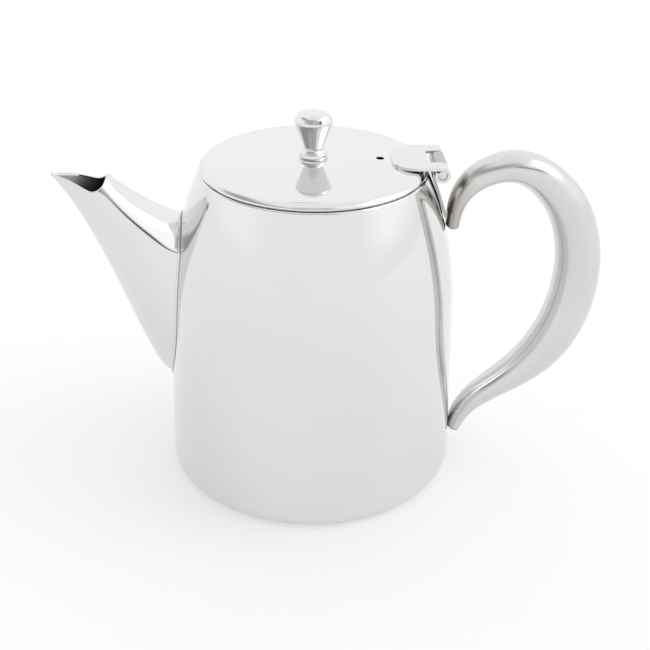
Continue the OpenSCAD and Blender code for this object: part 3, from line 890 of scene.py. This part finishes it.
LID_FOOT = 0.15                   # middle of the margin's rounded foot, over its CAD height
LID_MARGIN_H = 0.6                # upright part of the margin
LID_LEAN = math.radians(47)       # slope of the lid where it meets the margin
LID_ROLL_R, LID_CORNER_R = 4.5, 0.85
VENT_X, VENT_R = 24.8, 1.5
VENT_TOOL = 5.0         # how far the vent's drill reaches past the lid
SEAT_GAP = 0.02                   # under the knob
WASHER_BORE_R = 2.1
WASHER_EDGES = 0.15, 0.2          # corner radii at the washer's bore and rim
SCREW_R, SCREW_HEAD_H = 1.98, 2.1
RECESS_ARM, RECESS_SLOT = 2.0, 0.45     # half the length and width of the recess's arms
RECESS_DEPTH = 1.1
RECESS_TOOL = 1.0       # how far below the head the recess's tool starts


def lid_path():
    """The lid's skin, from the foot of its margin up, over the rolled edge and in to the middle."""
    roll = LID_ROLL_R * math.tan(LID_LEAN / 2)
    reach = roll + LID_CORNER_R * math.tan((math.pi / 2 - LID_LEAN) / 2)
    edge_z = lid_z0 + LID_MARGIN_H
    roll_r, roll_z = lid_r - reach * math.cos(LID_LEAN), edge_z + reach * math.sin(LID_LEAN)
    mid = (roll_r - roll) / 2
    slope = math.atan2(lid_top - roll_z, roll_r - mid)
    return [
        (lid_r, lid_z0 + LID_FOOT, 0), (lid_r, edge_z, LID_CORNER_R), (roll_r, roll_z, LID_ROLL_R),
        (mid, lid_top, mid / math.tan(slope / 2)), (0, lid_top, 0)]


def make_lid():
    """Lid, polished above and satin below, with the steam vent through it."""
    points, normals = filleted(lid_path(), step=1.5)
    loop, loop_n, outer = sheet_loop(points, normals, WALL, True, False)
    obj, rows = revolve("lid_pan", loop, loop_n, 384)
    paint(obj, [POLISHED, SATIN], [1 if outer <= r < 2 * outer - 1 else 0 for r in rows])
    vent = (VENT_X, 0, lid_z0 - VENT_TOOL), (VENT_X, 0, lid_top + VENT_TOOL)
    pierce(obj, drills([vent], VENT_R, 48))
    piece(obj, "lid", "polished_steel", "lid_pan")


def make_locating_ring():
    """Ring under the lid that holds it central in the pot's mouth."""
    points, normals = filleted([(ring_r, ring_z[0] + WALL / 2, 0), (ring_r, ring_z[1], 0)], step=1)
    loop, loop_n, _ = sheet_loop(points, normals, WALL, True, True)
    obj, _ = revolve("lid_locating_ring", loop, loop_n, 288, closed=True)
    paint(obj, [SATIN])
    piece(obj, "lid", "polished_steel", "lid_locating_ring")


def make_knob():
    """Turned knob: collar, waist, cone, and a domed head with a centre dimple."""
    z, r = lid_top, knob_r
    collar = [(0, z + SEAT_GAP, 0), (r - 1.95, z + SEAT_GAP, 0.15), (r - 1.75, z + 0.9, 0.7),
              (r - 2.0, z + 2.1, 0.7)]
    waist = [(r - 3.0, z + 2.35, 0.6), (r - 3.7, z + 3.3, 0.5)]
    head = [(r - 0.4, z + 12.2, 1.2), (r + 0.2, z + 14.1, 1.7), (r - 1.3, z + 16.7, 2.6),
            (2.8, z + 17.4, 2.6)]
    dimple = [(0.75, z + 17.38, 0.3), (0.25, z + 17.05, 0.2), (0, z + 17.02, 0)]
    points, normals = filleted(collar + waist + head + dimple, step=0.5,
                               turn_step=math.radians(5))
    points[:, 0] *= min(1, r / points[:, 0].max())
    obj, _ = revolve("knob", points, normals, 128)
    paint(obj, [POLISHED])
    piece(obj, "lid", "polished_steel", "knob")


def make_knob_washer():
    """Flat washer between the screw's head and the lid."""
    z0, z1 = low("knob_washer")[2], high("knob_washer")[2]
    r0, r1 = WASHER_BORE_R, high("knob_washer")[0]
    bore_edge, rim_edge = WASHER_EDGES
    points, normals = filleted([
        (r0, (z0 + z1) / 2, 0), (r0, z0, bore_edge), (r1, z0, rim_edge), (r1, z1, rim_edge),
        (r0, z1, bore_edge), (r0, (z0 + z1) / 2, 0)], step=0.6)
    obj, _ = revolve("knob_washer", points[:-1], normals[:-1], 96, closed=True)
    paint(obj, [FASTENER])
    piece(obj, "lid", "fastener_steel", "knob_washer")


def make_knob_screw():
    """Cheese-head screw, with a cross recess in its head."""
    z0, z1 = low("knob_screw")[2], high("knob_screw")[2]
    head_r = high("knob_screw")[0]
    head = [(0, z0, 0), (head_r, z0, 0.7), (head_r, z0 + SCREW_HEAD_H, 0.15)]
    shank = [(SCREW_R, z0 + SCREW_HEAD_H, 0.1), (SCREW_R, z1 - 0.5, 0.1), (SCREW_R - 0.5, z1, 0.1),
             (0, z1, 0)]
    points, normals = filleted(head + shank, step=0.5)
    obj, _ = revolve("knob_screw", points, normals, 72)
    for x, y in (RECESS_ARM, RECESS_SLOT), (RECESS_SLOT, RECESS_ARM):
        arm = [(-x, -y), (x, -y), (x, y), (-x, y)]
        combine(obj, extrude_z("recess", arm, z0 - RECESS_TOOL, z0 + RECESS_DEPTH), "DIFFERENCE")
    obj.data.set_sharp_from_angle(angle=math.radians(35))
    paint(obj, [FASTENER])
    piece(obj, "lid", "fastener_steel", "knob_screw")


make_body()
make_base_plate()
make_spout()
make_spout_bead()
make_handle()
make_lid_leaf()
make_body_leaf()
make_pin()
make_lid()
make_locating_ring()
make_knob()
make_knob_washer()
make_knob_screw()

# ---- floor, light and camera ----

FLOOR_HALF = 3000
FLOOR_DROP = 0.1        # the floor lies just under the pot's foot
FLOOR_GREY, FLOOR_GLOW = 0.5, 0.44

# Brightness of the light tent, and of the soft panels on it. Each panel has a bearing, half
# its width, its lowest and highest angle, how many degrees its sides and its ends fade over,
# and a level. All the angles are in degrees.
WORLD_LEVEL = 1.03
WORLD_PANELS = [
    (0, 50, 16, 60, 25, 10, 1.12),
    (90, 25, 10, 30, 25, 8, 1.20),
    (-90, 25, 10, 24, 25, 8, 1.12),
    (180, 22, 38, 62, 14, 9, 0.66),
    (-115, 48, 40, 52, 20, 11, 0.46),
    (116, 26, 30, 56, 16, 10, 1.25),
    (90, 15, 37, 52, 16, 9, 3.2),
    (150, 18, 33, 37, 12, 4, 0.12),
    (-1, 5, 55, 57, 2, 2, 0.15),
]


def make_floor():
    """Plain pale floor that glows a little, so that the pot's shadow stays faint."""
    a = FLOOR_HALF
    floor = solid("floor", [[-a, -a, 0], [a, -a, 0], [a, a, 0], [-a, a, 0]], [[0, 1, 2, 3]])
    m, shader = material("floor_white")
    shader.inputs["Base Color"].default_value = (FLOOR_GREY, FLOOR_GREY, FLOOR_GREY, 1)
    shader.inputs["Roughness"].default_value = 0.6
    shader.inputs["Emission Color"].default_value = (1, 1, 1, 1)
    shader.inputs["Emission Strength"].default_value = FLOOR_GLOW
    paint(floor, [m])
    floor.location.z = -FLOOR_DROP * MM


def make_world():
    """A light tent: an even pale surround, with brighter and darker soft panels on it."""
    world = bpy.data.worlds.new("studio")
    bpy.context.scene.world = world
    world.use_nodes = True
    nodes, links = world.node_tree.nodes, world.node_tree.links
    direction = nodes.new("ShaderNodeTexCoord").outputs["Generated"]

    def math_node(operation, *values, clamp=False):
        n = nodes.new("ShaderNodeMath")
        n.operation, n.use_clamp = operation, clamp
        for socket, v in zip(n.inputs, values):
            if isinstance(v, (int, float)):
                socket.default_value = v
            else:
                links.new(v, socket)
        return n.outputs[0]

    split = nodes.new("ShaderNodeSeparateXYZ")
    links.new(direction, split.inputs[0])
    x, y, z = split.outputs
    height = math_node("MULTIPLY", math_node("ARCSINE", z), 180 / math.pi)

    def bearing(middle):
        """Degrees from the middle bearing, 0 being away from the camera and 90 to the right."""
        m = math.radians(middle)
        across = math_node("SUBTRACT", math_node("MULTIPLY", x, math.cos(m)),
                           math_node("MULTIPLY", y, math.sin(m)))
        along = math_node("ADD", math_node("MULTIPLY", x, math.sin(m)),
                          math_node("MULTIPLY", y, math.cos(m)))
        return math_node("MULTIPLY", math_node("ARCTAN2", across, along), 180 / math.pi)

    def band(value, lowest, highest, soft):
        """1 between lowest and highest, easing to 0 over soft degrees on each side."""
        rise = math_node("DIVIDE", math_node("SUBTRACT", value, lowest - soft), soft, clamp=True)
        fall = math_node("DIVIDE", math_node("SUBTRACT", highest + soft, value), soft, clamp=True)
        return math_node("MULTIPLY", rise, fall)

    light = WORLD_LEVEL
    for middle, half, lowest, highest, soft, soft_height, level in WORLD_PANELS:
        shape = math_node("MULTIPLY", band(bearing(middle), -half, half, soft),
                          band(height, lowest, highest, soft_height))
        light = math_node("ADD", math_node("MULTIPLY", light, math_node("SUBTRACT", 1.0, shape)),
                          math_node("MULTIPLY", shape, level))
    colour = nodes.new("ShaderNodeCombineColor")
    for socket in colour.inputs:
        links.new(light, socket)
    links.new(colour.outputs[0], nodes["Background"].inputs["Color"])
    nodes["Background"].inputs["Strength"].default_value = 1.0


def make_camera():
    """Camera at the photograph's angle: turned, tilted and rolled about its own axis."""
    azimuth, elevation, roll = (math.radians(a) for a in (-2.6, 28.98, 0.93))
    distance, sensor = 461.85, 36
    lens = 1150 / 650 * sensor
    aim_right, aim_z = 5.28, 57.60
    back = Vector((math.sin(azimuth) * math.cos(elevation),
                   -math.cos(azimuth) * math.cos(elevation), math.sin(elevation)))
    right = Vector((math.cos(azimuth), math.sin(azimuth), 0))
    up = back.cross(right)
    target = right * aim_right + Vector((0, 0, aim_z))
    right, up = (right * math.cos(roll) + up * math.sin(roll),
                 up * math.cos(roll) - right * math.sin(roll))
    data = bpy.data.cameras.new("camera")
    data.sensor_width, data.lens = sensor, lens
    data.clip_start, data.clip_end = 0.01, 20
    camera = bpy.data.objects.new("camera", data)
    bpy.context.scene.collection.objects.link(camera)
    camera.matrix_world = Matrix.Translation((target + back * distance) * MM) @ Matrix(
        (right, up, back)).transposed().to_4x4()
    bpy.context.scene.camera = camera


make_floor()
make_world()
make_camera()
bpy.context.scene.view_settings.view_transform = "Standard"
